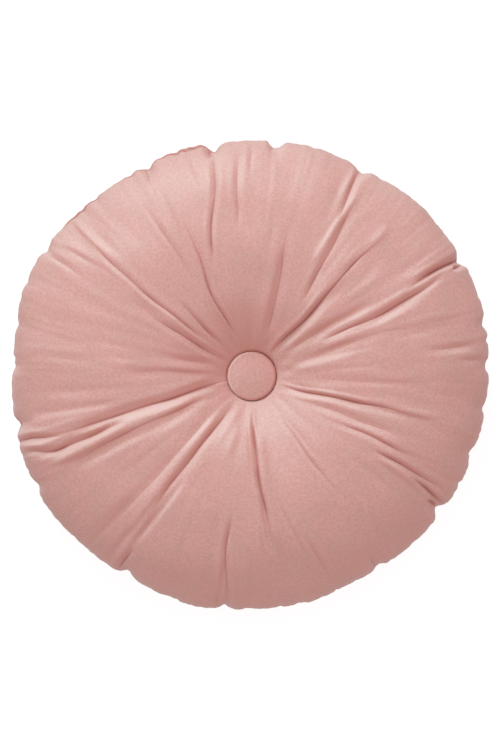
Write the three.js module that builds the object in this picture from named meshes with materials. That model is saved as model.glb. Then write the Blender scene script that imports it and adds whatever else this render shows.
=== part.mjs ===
// A round tufted cushion lying on its back, with one covered button drawn into its front face.
// Lengths are millimetres and angles are degrees. +Z points up out of the front face and +Y towards
// the cushion's top edge. Angles run counter-clockwise from +X, round the button's axis.

import * as THREE from "three";

// Driving sizes of the filled cover
const CROWN_HEIGHT = 118;
const CROWN_RADIUS = 106;
const SEAM_HEIGHT = 54;
const SEAM_GROOVE = 1.6;
const RIM_EXPONENT = 1.12; // 1 makes the rim's section an ellipse, more makes it sharper
const DIMPLE_EXPONENT = 2;
const UNDERSIDE_OUTER_RADIUS = 138;
const UNDERSIDE_INNER_RADIUS = 78;
const UNDERSIDE_DIMPLE = 16;

// Driving sizes of the button and of the cloth that it is drawn down on
const BUTTON_RADIUS = 20.6;
const BUTTON_SIDE = 1.8;
const BUTTON_FOOT_ROUND = 1.8;
const BUTTON_EDGE_ROUND = 3.2;
const BUTTON_DOME = 2.4;
const SEAT_HEIGHT = 80;
const SEAT_RADIUS = 21.2;
const COLLAR_HEIGHT = 83.6;
const COLLAR_RADIUS = 22.6;
const RESTING_GAP = 0.3;

// How a fold swells beside its valley, as shares of its depth and of its width
const SWELL = { rise: 0.4, away: 2.1, wide: 1.2 };
const FOLD_RUN_IN = 14; // the length over which a fold starts
const FOLD_RUN_OUT = 34; // the length over which it ends
const FOLD_RUN_MOST = 0.45; // neither is more than this share of the fold's length
const PINCH_WIDTH = 5.5; // half width of a gather at the sewn rim
const PINCH_RUN = 24; // how far such a gather runs on to either face

// The sewn rim, a row for each lobe: the gather that starts it, how far the thread pinches that gather
// in, and how far the lobe's middle reaches from the button's axis.
const LOBES = [
  { gather: 2.5, pinch: 3.8, reach: 200.6 },
  { gather: 12.7, pinch: 3.4, reach: 202.4 },
  { gather: 28.9, pinch: 5.2, reach: 202.0 },
  { gather: 50.0, pinch: 0.0, reach: 199.6 },
  { gather: 62.0, pinch: 4.2, reach: 199.8 },
  { gather: 84.0, pinch: 5.8, reach: 199.0 },
  { gather: 99.5, pinch: 7.6, reach: 199.6 },
  { gather: 116.5, pinch: 4.4, reach: 197.6 },
  { gather: 134.0, pinch: 0.0, reach: 201.6 },
  { gather: 148.0, pinch: 2.8, reach: 205.0 },
  { gather: 167.0, pinch: 1.4, reach: 201.7 },
  { gather: 177.5, pinch: 2.8, reach: 201.9 },
  { gather: 191.8, pinch: 4.6, reach: 203.8 },
  { gather: 207.0, pinch: 3.2, reach: 201.9 },
  { gather: 225.0, pinch: 0.0, reach: 198.6 },
  { gather: 237.7, pinch: 5.2, reach: 197.0 },
  { gather: 250.0, pinch: 1.4, reach: 197.6 },
  { gather: 263.2, pinch: 2.8, reach: 195.4 },
  { gather: 269.5, pinch: 1.0, reach: 194.6 },
  { gather: 282.0, pinch: 1.5, reach: 192.4 },
  { gather: 303.6, pinch: 3.2, reach: 194.2 },
  { gather: 324.5, pinch: 7.0, reach: 196.2 },
  { gather: 341.2, pinch: 2.4, reach: 197.8 },
  { gather: 352.3, pinch: 2.0, reach: 199.2 },
];

// The radii at which a fold's five angles are given
const FOLD_RADII = { hub: 28, inner: 60, mid: 110, outer: 150, rim: 190 };

// The front face's folds, a row each: the angle at each of those radii, the radii between which the
// fold shows, how deep its valley is and its half width. One that reaches the rim fades out there,
// where the gathers of the seam take over.
const FOLDS = [
  { hub: 5.5, inner: 5.5, mid: 5.5, outer: 5.5, rim: 5.5, from: 165, to: 202, deep: 2.0, wide: 3.2 },
  { hub: 10, inner: 10, mid: 9.8, outer: 9.6, rim: 9.4, from: 130, to: 200, deep: 2.0, wide: 4.0 },
  { hub: 18.5, inner: 18.8, mid: 20.3, outer: 17.4, rim: 16, from: 28, to: 160, deep: 1.6, wide: 7.0 },
  { hub: 27.5, inner: 27.5, mid: 26.5, outer: 27.1, rim: 27.8, from: 62, to: 202, deep: 4.2, wide: 3.6 },
  { hub: 31.5, inner: 31, mid: 30, outer: 30.3, rim: 30, from: 140, to: 202, deep: 3.2, wide: 3.0 },
  { hub: 35.2, inner: 36.3, mid: 33.6, outer: 33.4, rim: 33.4, from: 23, to: 104, deep: 3.2, wide: 5.0 },
  { hub: 52, inner: 47.6, mid: 47.9, outer: 47.3, rim: 46.8, from: 22, to: 168, deep: 5.4, wide: 4.6 },
  { hub: 57, inner: 57, mid: 58.9, outer: 59.5, rim: 59.2, from: 70, to: 172, deep: 4.6, wide: 4.0 },
  { hub: 60.5, inner: 60.5, mid: 61.6, outer: 61.9, rim: 62.8, from: 148, to: 202, deep: 3.4, wide: 3.2 },
  { hub: 72, inner: 74.5, mid: 77, outer: 76.4, rim: 76, from: 28, to: 142, deep: 2.2, wide: 8.0 },
  { hub: 91, inner: 91, mid: 91, outer: 91.3, rim: 90.4, from: 158, to: 202, deep: 1.8, wide: 3.0 },
  { hub: 97, inner: 97, mid: 97, outer: 95.7, rim: 94.2, from: 110, to: 202, deep: 2.4, wide: 4.0 },
  { hub: 107, inner: 109, mid: 108.2, outer: 102.6, rim: 99.7, from: 84, to: 202, deep: 5.6, wide: 3.8 },
  { hub: 111.5, inner: 116.4, mid: 114.1, outer: 114.8, rim: 116.8, from: 25, to: 158, deep: 3.2, wide: 4.6 },
  { hub: 133, inner: 133.8, mid: 134, outer: 134, rim: 134, from: 25, to: 122, deep: 2.6, wide: 6.0 },
  { hub: 142.5, inner: 142.1, mid: 141.3, outer: 140.6, rim: 139.6, from: 50, to: 202, deep: 4.2, wide: 3.2 },
  { hub: 149, inner: 148.5, mid: 147.5, outer: 147.6, rim: 148, from: 23, to: 128, deep: 3.2, wide: 6.0 },
  { hub: 176, inner: 176.4, mid: 177.5, outer: 177.5, rim: 177.2, from: 26, to: 122, deep: 1.6, wide: 7.0 },
  { hub: 190, inner: 194, mid: 195.8, outer: 195.2, rim: 191.8, from: 22, to: 160, deep: 5.4, wide: 6.6 },
  { hub: 196, inner: 197.2, mid: 198, outer: 197.4, rim: 194.8, from: 162, to: 202, deep: 3.6, wide: 3.0 },
  { hub: 200, inner: 200, mid: 199.6, outer: 199.6, rim: 199.2, from: 122, to: 202, deep: 3.8, wide: 3.4 },
  { hub: 205, inner: 204.8, mid: 203.7, outer: 205.5, rim: 206.6, from: 34, to: 156, deep: 3.2, wide: 6.0 },
  { hub: 218, inner: 219.5, mid: 223.4, outer: 225.1, rim: 226, from: 28, to: 180, deep: 1.6, wide: 7.0 },
  { hub: 234.5, inner: 233.3, mid: 232.5, outer: 233.6, rim: 232.4, from: 22, to: 160, deep: 5.2, wide: 5.4 },
  { hub: 237, inner: 236.4, mid: 236, outer: 235.4, rim: 235.8, from: 164, to: 202, deep: 3.4, wide: 3.0 },
  { hub: 260, inner: 260.5, mid: 261.2, outer: 261.7, rim: 263.8, from: 110, to: 202, deep: 2.8, wide: 4.0 },
  { hub: 270.5, inner: 271.5, mid: 275.2, outer: 277, rim: 278, from: 25, to: 150, deep: 4.2, wide: 3.6 },
  { hub: 283, inner: 282.7, mid: 282.9, outer: 285.9, rim: 288.6, from: 88, to: 178, deep: 1.6, wide: 3.6 },
  { hub: 305.5, inner: 305.5, mid: 305.5, outer: 305.5, rim: 305.5, from: 44, to: 132, deep: 1.5, wide: 6.5 },
  { hub: 326, inner: 326.2, mid: 326.8, outer: 327.6, rim: 326.2, from: 148, to: 202, deep: 4.0, wide: 3.4 },
  { hub: 329, inner: 329.2, mid: 330.2, outer: 330.2, rim: 330.2, from: 110, to: 190, deep: 2.6, wide: 4.4 },
  { hub: 332, inner: 332, mid: 334, outer: 334.2, rim: 334.4, from: 68, to: 146, deep: 3.4, wide: 5.2 },
  { hub: 344, inner: 345.4, mid: 347.1, outer: 347.1, rim: 347, from: 22, to: 150, deep: 5.4, wide: 5.0 },
  { hub: 357.5, inner: 357.5, mid: 357.5, outer: 357.5, rim: 357.5, from: 44, to: 124, deep: 1.4, wide: 8.0 },
];

// The back face's gathers round its dimple, a row each. They are plain, as the back doesn't show.
const BACK_GATHERS = [
  { at: 16, deep: 2.6, wide: 5.5 },
  { at: 47, deep: 3.4, wide: 6.0 },
  { at: 77, deep: 2.4, wide: 5.0 },
  { at: 108, deep: 3.4, wide: 6.0 },
  { at: 141, deep: 2.8, wide: 5.0 },
  { at: 171, deep: 2.4, wide: 6.0 },
  { at: 199, deep: 3.2, wide: 5.0 },
  { at: 232, deep: 3.0, wide: 6.0 },
  { at: 262, deep: 2.4, wide: 5.0 },
  { at: 288, deep: 3.0, wide: 5.5 },
  { at: 318, deep: 2.6, wide: 5.0 },
  { at: 346, deep: 3.2, wide: 6.0 },
];
const BACK_GATHER_FROM = 8;
const BACK_GATHER_TO = 92;

// Where the seam has rolled on to the front face, so that it shows just inside the outline: the
// stretch's middle and half its length, the share of that which is rolled fully, and how far it rolls
// as a share of the rim's section.
const SEAM_ROLL = { middle: 121, halfSpan: 25, full: 0.6, share: 0.1 };

// How finely the pieces are faceted
const COLUMN_STEP = 3.6; // the most between two columns of the cover
const SIDE_COLUMN = 1.4; // how far from a fold the columns stand that shape its sides
const OWN_COLUMN_PINCH = 1.3; // a gather pinched less than this has no column of its own
const OWN_COLUMN_ANGLE = 1.3; // nor has one with a fold this near
const BUTTON_SIDES = 48;
const BUTTON_CURVE_STEPS = 4;

// The section's bands from the middle of the front, over the rim, to the middle of the back: how many
// rings each has, and how its rings crowd towards its start (above 1) or its end (below 1).
const BANDS = [
  { name: "seat", rings: 1, crowd: 1 },
  { name: "collar", rings: 1, crowd: 1 },
  { name: "slope", rings: 7, crowd: 1.3 },
  { name: "frontRim", rings: 9, crowd: 0.9 },
  { name: "backRim", rings: 5, crowd: 1.15 },
  { name: "underside", rings: 2, crowd: 1 },
  { name: "backDimple", rings: 3, crowd: 1 },
];
const SEAM_LIP = 0.035; // the share of a rim band that the groove beside the seam takes

const VELVET = { color: 0xd7a59b, roughness: 0.92, metalness: 0 };

const radians = THREE.MathUtils.degToRad;
const { clamp, lerp, smoothstep } = THREE.MathUtils;

// The smallest turn from one angle to another, in degrees.
function turn(from, to) {
  return THREE.MathUtils.euclideanModulo(to - from + 180, 360) - 180;
}

// A bell curve, 1 at 0 and near 0 at twice the half width.
function bell(distance, halfWidth) {
  return Math.exp(-((distance / halfWidth) ** 2));
}

// A smooth curve through the given values at the given places.
function curveThrough(places, values) {
  const curve = new THREE.CubicInterpolant(places, values, 1);
  return (place) => curve.evaluate(clamp(place, places[0], places[places.length - 1]))[0];
}

// The smooth outline of the rim before its gathers are pinched in.
function lobeReach() {
  const middles = LOBES.map((lobe, i) => {
    const next = LOBES[(i + 1) % LOBES.length].gather;
    return { at: lobe.gather + turn(lobe.gather, next) / 2, reach: lobe.reach };
  });
  const around = [-360, 0, 360].flatMap((round) =>
    middles.map((middle) => ({ at: middle.at + round, reach: middle.reach })),
  );
  return curveThrough(around.map((row) => row.at), around.map((row) => row.reach));
}

const reachAt = lobeReach();

// The five angles of a fold, or of a column of the mesh, as a curve over the radius.
function angleCurve(row) {
  const names = Object.keys(FOLD_RADII);
  return curveThrough(names.map((name) => FOLD_RADII[name]), names.map((name) => row[name]));
}

const foldCurves = FOLDS.map((fold) => ({ ...fold, angleAt: angleCurve(fold) }));

// How much of a fold shows at a radius between its start and its end.
function foldShare(fold, radius) {
  const most = (fold.to - fold.from) * FOLD_RUN_MOST;
  const started = smoothstep(radius, fold.from, fold.from + Math.min(FOLD_RUN_IN, most));
  return started * (1 - smoothstep(radius, fold.to - Math.min(FOLD_RUN_OUT, most), fold.to));
}

// The depth of one fold across its valley: down in the middle, and swollen up on both sides.
function foldSection(fold, across) {
  const swell = bell(Math.abs(across) - SWELL.away * fold.wide, SWELL.wide * fold.wide);
  return fold.deep * (SWELL.rise * swell - bell(across, fold.wide));
}

// What all the front face's folds add along the surface's normal.
function frontFolds(radius, angle) {
  return foldCurves.reduce((sum, fold) => {
    const share = foldShare(fold, radius);
    if (share === 0) return sum;
    const across = radians(turn(fold.angleAt(radius), angle)) * radius;
    return sum + share * foldSection(fold, across);
  }, 0);
}

// What the thread of the seam draws in, at a distance along the surface from the seam.
function rimPinch(fromSeam, radius, angle) {
  return LOBES.reduce((sum, lobe) => {
    const across = radians(turn(lobe.gather, angle)) * radius;
    return sum - lobe.pinch * bell(across, PINCH_WIDTH) * bell(fromSeam, PINCH_RUN);
  }, 0);
}

// What the gathers of the back face add along its normal.
function backGathers(radius, angle) {
  const middle = (BACK_GATHER_FROM + BACK_GATHER_TO) / 2;
  const started = smoothstep(radius, BACK_GATHER_FROM, middle);
  const share = started * (1 - smoothstep(radius, middle, BACK_GATHER_TO));
  return BACK_GATHERS.reduce((sum, gather) => {
    const across = radians(turn(gather.at, angle)) * radius;
    return sum - share * gather.deep * bell(across, gather.wide);
  }, 0);
}

// The section of each band: its radius and height at a share of the way along it.
const SECTION = {
  seat: (share) => ({
    radius: share * SEAT_RADIUS,
    height: SEAT_HEIGHT,
  }),
  collar: (share) => ({
    radius: lerp(SEAT_RADIUS, COLLAR_RADIUS, share),
    height: lerp(SEAT_HEIGHT, COLLAR_HEIGHT, share),
  }),
  slope: (share) => ({
    radius: lerp(COLLAR_RADIUS, CROWN_RADIUS, share),
    height: lerp(CROWN_HEIGHT, COLLAR_HEIGHT, (1 - share) ** DIMPLE_EXPONENT),
  }),
  frontRim: (share, reach) => ({
    radius: lerp(CROWN_RADIUS, reach, Math.sin((share * Math.PI) / 2) ** RIM_EXPONENT),
    height: lerp(SEAM_HEIGHT, CROWN_HEIGHT, Math.cos((share * Math.PI) / 2) ** RIM_EXPONENT),
  }),
  backRim: (share, reach) => ({
    radius: lerp(UNDERSIDE_OUTER_RADIUS, reach, Math.cos((share * Math.PI) / 2) ** RIM_EXPONENT),
    height: lerp(SEAM_HEIGHT, 0, Math.sin((share * Math.PI) / 2) ** RIM_EXPONENT),
  }),
  underside: (share) => ({
    radius: lerp(UNDERSIDE_OUTER_RADIUS, UNDERSIDE_INNER_RADIUS, share),
    height: 0,
  }),
  backDimple: (share) => ({
    radius: lerp(UNDERSIDE_INNER_RADIUS, 0, share),
    height: UNDERSIDE_DIMPLE * smoothstep(share, 0, 1),
  }),
};

// The place of a ring: its band's number plus its share of the way along the band.
const SEAM_PLACE = 1 + BANDS.findIndex((band) => band.name === "frontRim");
const SLOPE_PLACE = BANDS.findIndex((band) => band.name === "slope");
const NORMAL_STEP = 0.01;

// Rings near the seam move with it where it has rolled on to the front face.
function rolledPlace(place, angle) {
  const near = clamp(1 - Math.abs(place - SEAM_PLACE), 0, 1);
  const away = Math.abs(turn(SEAM_ROLL.middle, angle)) / SEAM_ROLL.halfSpan;
  return place - SEAM_ROLL.share * near ** 2 * (1 - smoothstep(away, SEAM_ROLL.full, 1));
}

// The point of the smooth section at a place.
function sectionPoint(place, reach) {
  const band = clamp(Math.floor(place), 0, BANDS.length - 1);
  return SECTION[BANDS[band].name](place - band, reach);
}

// The outward normal of the smooth section at a place.
function sectionNormal(place, reach) {
  const before = sectionPoint(Math.max(place - NORMAL_STEP, 0), reach);
  const after = sectionPoint(Math.min(place + NORMAL_STEP, BANDS.length), reach);
  const along = new THREE.Vector2(after.radius - before.radius, after.height - before.height);
  return new THREE.Vector2(-along.y, along.x).normalize();
}

// What the folds, gathers and seam add to a ring's point, along the section's normal.
function relief(ring, section, reach, angle) {
  if (ring.place < SLOPE_PLACE) return 0;
  const seam = sectionPoint(rolledPlace(SEAM_PLACE, angle), reach);
  const fromSeam = Math.hypot(section.radius - seam.radius, section.height - seam.height);
  const pinch = rimPinch(fromSeam, section.radius, angle);
  const groove = ring.isSeam ? SEAM_GROOVE : 0;
  const gathers = ring.place > SEAM_PLACE ? backGathers : frontFolds;
  return gathers(section.radius, angle) + pinch - groove;
}

// One point of the finished cover.
function coverPoint(ring, column) {
  const angle = column.angleAt(sectionPoint(ring.place, reachAt(column.rim)).radius);
  const reach = reachAt(THREE.MathUtils.euclideanModulo(angle, 360));
  const place = rolledPlace(ring.place, angle);
  const section = sectionPoint(place, reach);
  const normal = sectionNormal(place, reach);
  const out = relief(ring, section, reach, angle);
  const radius = section.radius + normal.x * out;
  const height = Math.max(section.height + normal.y * out, 0);
  return [radius * Math.cos(radians(angle)), radius * Math.sin(radians(angle)), height];
}

// The rings between the two middles: a groove's lip stands on both sides of the seam's own ring.
function coverRings() {
  const rings = BANDS.flatMap((band, i) =>
    Array.from({ length: band.rings }, (_, k) => ({ place: i + ((k + 1) / band.rings) ** band.crowd })),
  );
  const inner = rings.filter((ring) => ring.place < BANDS.length);
  const marked = inner.map((ring) => ({ ...ring, isSeam: ring.place === SEAM_PLACE }));
  const lips = [-SEAM_LIP, SEAM_LIP].map((lip) => ({ place: SEAM_PLACE + lip, isSeam: false }));
  return [...marked, ...lips].sort((one, other) => one.place - other.place);
}

// The lines that columns of the mesh follow: each fold, and each deep gather with no fold in it.
function guideRows() {
  const names = Object.keys(FOLD_RADII);
  const gathers = LOBES.filter((lobe) => {
    const near = FOLDS.some((fold) => Math.abs(turn(fold.rim, lobe.gather)) < OWN_COLUMN_ANGLE);
    return lobe.pinch >= OWN_COLUMN_PINCH && !near;
  });
  const straight = gathers.map((lobe) =>
    Object.fromEntries(names.map((name) => [name, lobe.gather])),
  );
  return [...FOLDS, ...straight].sort((one, other) => one.rim - other.rim);
}

// Where columns stand between one guide and the next, as shares of the angle between them. A gap with
// no room for side columns has one column in its middle.
function columnShares(gap) {
  if (gap < 2.5 * SIDE_COLUMN) return [0, 0.5];
  const side = SIDE_COLUMN / gap;
  const between = Math.ceil((gap - 2 * SIDE_COLUMN) / COLUMN_STEP);
  const inner = Array.from({ length: between + 1 }, (_, k) => lerp(side, 1 - side, k / between));
  return [0, ...inner];
}

// The columns of the mesh: the guides, with others between them.
function coverColumns() {
  const names = Object.keys(FOLD_RADII);
  const guides = guideRows();
  return guides.flatMap((guide, i) => {
    const next = guides[(i + 1) % guides.length];
    const wrap = i + 1 === guides.length ? 360 : 0;
    return columnShares(next.rim + wrap - guide.rim).map((share) => {
      const row = names.map((name) => [name, lerp(guide[name], next[name] + wrap, share)]);
      const angles = Object.fromEntries(row);
      return { rim: angles.rim, angleAt: angleCurve(angles) };
    });
  });
}

// The triangles that join the rings, and the two middles to the rings next to them.
function coverTriangles(ringCount, columnCount) {
  const front = ringCount * columnCount;
  const back = front + 1;
  const triangles = [];
  for (let column = 0; column < columnCount; column += 1) {
    const next = (column + 1) % columnCount;
    const last = (ringCount - 1) * columnCount;
    triangles.push(front, column, next);
    triangles.push(back, last + next, last + column);
    for (let ring = 0; ring < ringCount - 1; ring += 1) {
      const inner = ring * columnCount;
      const outer = inner + columnCount;
      triangles.push(inner + column, outer + column, outer + next);
      triangles.push(inner + column, outer + next, inner + next);
    }
  }
  return triangles;
}

// The filled cover as one closed solid.
function cushionGeometry() {
  const rings = coverRings();
  const columns = coverColumns();
  const points = rings.flatMap((ring) => columns.map((column) => coverPoint(ring, column)));
  points.push([0, 0, SEAT_HEIGHT]);
  points.push([0, 0, UNDERSIDE_DIMPLE]);
  const geometry = new THREE.BufferGeometry();
  geometry.setAttribute("position", new THREE.Float32BufferAttribute(points.flat(), 3));
  geometry.setIndex(coverTriangles(rings.length, columns.length));
  geometry.computeVertexNormals();
  return geometry;
}

// The button's section: a flat foot, a rounded side and a low dome.
function buttonSection() {
  const side = BUTTON_FOOT_ROUND + BUTTON_SIDE;
  const crown = side + BUTTON_EDGE_ROUND;
  const section = new THREE.Path();
  section.moveTo(0, 0);
  section.lineTo(BUTTON_RADIUS - BUTTON_FOOT_ROUND, 0);
  section.quadraticCurveTo(BUTTON_RADIUS, 0, BUTTON_RADIUS, BUTTON_FOOT_ROUND);
  section.lineTo(BUTTON_RADIUS, side);
  section.quadraticCurveTo(BUTTON_RADIUS, crown, BUTTON_RADIUS - BUTTON_EDGE_ROUND, crown);
  section.quadraticCurveTo(BUTTON_RADIUS / 2, crown + BUTTON_DOME, 0, crown + BUTTON_DOME);
  return section.getPoints(BUTTON_CURVE_STEPS);
}

// The covered button, standing on its foot.
function buttonGeometry() {
  return new THREE.LatheGeometry(buttonSection(), BUTTON_SIDES).rotateX(Math.PI / 2);
}

// A named piece in the velvet.
function velvetPiece(name, geometry) {
  const piece = new THREE.Mesh(geometry, new THREE.MeshStandardMaterial(VELVET));
  piece.name = name;
  return piece;
}

// The whole part, with the middle of its outline over the origin and its underside at height 0.
function roundCushion() {
  const cushion = velvetPiece("cushion", cushionGeometry());
  const button = velvetPiece("button", buttonGeometry());
  button.position.z = SEAT_HEIGHT + RESTING_GAP;
  const middle = new THREE.Box3().setFromObject(cushion).getCenter(new THREE.Vector3());
  const pieces = new THREE.Group();
  pieces.add(cushion, button);
  pieces.position.set(-middle.x, -middle.y, 0);
  const part = new THREE.Group();
  part.add(pieces);
  return part;
}

const group = roundCushion();

export default group;
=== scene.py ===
"""The looks of a round tufted cushion: its filled velvet cover, its covered button and a plain studio.

The shape of the cover is given in millimetres and degrees. Angles run counter-clockwise from +X,
round the button's axis, seen from above. What goes to Blender is in metres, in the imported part's frame.
"""

import logging
import math
from collections.abc import Callable
from dataclasses import dataclass, field
from enum import Enum

import bmesh
import bpy
import numpy as np
from mathutils import Matrix, Vector


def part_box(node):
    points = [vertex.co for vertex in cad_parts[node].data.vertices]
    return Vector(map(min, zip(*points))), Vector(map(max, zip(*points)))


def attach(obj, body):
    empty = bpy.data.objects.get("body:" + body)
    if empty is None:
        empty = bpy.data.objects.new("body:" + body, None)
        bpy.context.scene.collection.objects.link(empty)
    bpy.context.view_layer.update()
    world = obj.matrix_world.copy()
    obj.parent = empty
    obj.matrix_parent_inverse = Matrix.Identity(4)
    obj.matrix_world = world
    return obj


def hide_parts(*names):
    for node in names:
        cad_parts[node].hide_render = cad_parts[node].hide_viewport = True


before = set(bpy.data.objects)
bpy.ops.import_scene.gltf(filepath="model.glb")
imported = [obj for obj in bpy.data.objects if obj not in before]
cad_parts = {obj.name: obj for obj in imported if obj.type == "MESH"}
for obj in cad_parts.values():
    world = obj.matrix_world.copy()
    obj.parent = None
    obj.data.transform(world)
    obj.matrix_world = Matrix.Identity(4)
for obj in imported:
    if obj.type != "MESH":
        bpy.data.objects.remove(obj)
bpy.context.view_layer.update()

LOG = logging.getLogger("round_cushion")
MM = 0.001
Values = np.ndarray
Colour = tuple[float, float, float, float]
Pair = tuple[float, float]
Mesh = bpy.types.Mesh
Socket = bpy.types.NodeSocket
Inputs = dict[str | int, float | Colour | Socket]


class Band(Enum):
    """A stretch of the cover's section, in order from the middle of the front to that of the back."""

    SEAT = 0
    COLLAR = 1
    SLOPE = 2
    FRONT_RIM = 3
    BACK_RIM = 4
    UNDERSIDE = 5
    BACK_DIMPLE = 6


class Passage(Enum):
    """How a value passes from one end to the other."""

    EVEN = "LINEAR"
    SOFT = "SMOOTHSTEP"


FOLD_RADII = np.array([28.0, 60.0, 110.0, 150.0, 190.0])
SEAM_PLACE = float(Band.BACK_RIM.value)
MEAN_REACH = 200.0
TINY = 1e-9
# The swells beside a fold, in widths of its side.
SWELL_PLACE = 2.3
SWELL_WIDTH = 1.1


def bell(distance: Values, half_width: float) -> Values:
    """A bell curve, 1 at no distance and near 0 at twice the half width."""
    return np.exp(-((distance / half_width) ** 2))


def ramp(value: Values, low: float, high: float) -> Values:
    """A smooth step from 0 at low to 1 at high."""
    share = np.clip((value - low) / (high - low), 0.0, 1.0)
    return share * share * (3.0 - 2.0 * share)


def turn(start: float | Values, end: float | Values) -> Values:
    """The smallest turn from one angle to another, in degrees."""
    return np.mod(np.asarray(end) - start + 180.0, 360.0) - 180.0


def curve_through(places: Values, values: Values, at: Values) -> Values:
    """Follows a smooth curve through the given values.

    Args:
        places: Where the values stand, in rising order.
        values: The values there.
        at: Where the curve is wanted.

    Returns:
        The curve's values, which stay at the end values past both ends.
    """
    at = np.clip(at, places[0], places[-1])
    slopes = np.gradient(values, places)
    low = np.clip(np.searchsorted(places, at, side="right") - 1, 0, len(places) - 2)
    span = places[low + 1] - places[low]
    gone = (at - places[low]) / span
    left = 1 - gone
    start = values[low] * (1 + 2 * gone) * left ** 2 + slopes[low] * span * gone * left ** 2
    end = values[low + 1] * (3 - 2 * gone) * gone ** 2 - slopes[low + 1] * span * left * gone ** 2
    return start + end


@dataclass(frozen=True)
class Spots:
    """Points round the hub, by their radii in millimetres and their angles in degrees."""

    radius: float | Values
    angle: Values

    def across(self, middle: float | Values) -> Values:
        """Their distances from the line at an angle, below 0 towards smaller angles."""
        return np.radians(turn(middle, self.angle)) * self.radius

    def flat(self) -> tuple[Values, Values]:
        """Their places along X and along Y, from the hub."""
        turned = np.radians(self.angle)
        return self.radius * np.cos(turned), self.radius * np.sin(turned)


@dataclass(frozen=True)
class Fold:
    """A crease of the front face. Its lengths are millimetres.

    Its angles are those at the fold radii, and span is the two radii between which it shows. It is deep
    at its middle. sides tells how far the cloth slopes into it from smaller and from larger angles, and
    tip rounds its bottom. hook tells how many degrees it swings out of its way and back near the rim, and
    swell how far the cloth rises beside it, as a share of its depth.
    """

    angles: tuple[float, ...]
    span: Pair
    deep: float
    sides: Pair
    tip: float = 0.4
    hook: float = 0.0
    swell: float = 0.3

    @property
    def rim(self) -> float:
        """The crease's angle at the rim."""
        return self.angles[-1]

    @property
    def middle(self) -> float:
        """The crease's angle halfway, which also sets how its ripples start."""
        return self.angles[2]

    def valley(self, across: Values) -> Values:
        """Works out the crease's section.

        Args:
            across: The distances from the crease, below 0 towards smaller angles.

        Returns:
            The section, 1 at the crease's bottom, below 0 on the swells and 0 far away.
        """
        low, high = self.sides
        side = np.where(across < 0, low, high)
        dip = np.exp((self.tip - np.hypot(across, self.tip)) / side)
        return dip - self.swell * bell(np.abs(across) / side - SWELL_PLACE, SWELL_WIDTH)


@dataclass(frozen=True)
class SoftFold:
    """A soft hollow between the creases, or a soft ridge where deep is below 0.

    It runs from its first angle and radius to its last ones, and is wide to each side. Its lengths are
    millimetres.
    """

    angles: Pair
    span: Pair
    deep: float
    wide: float


@dataclass(frozen=True)
class Lobe:
    """A lobe of the sewn rim: the gather that starts it, that gather's pinch, and the lobe's reach."""

    gather: float
    pinch: float
    reach: float


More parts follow.
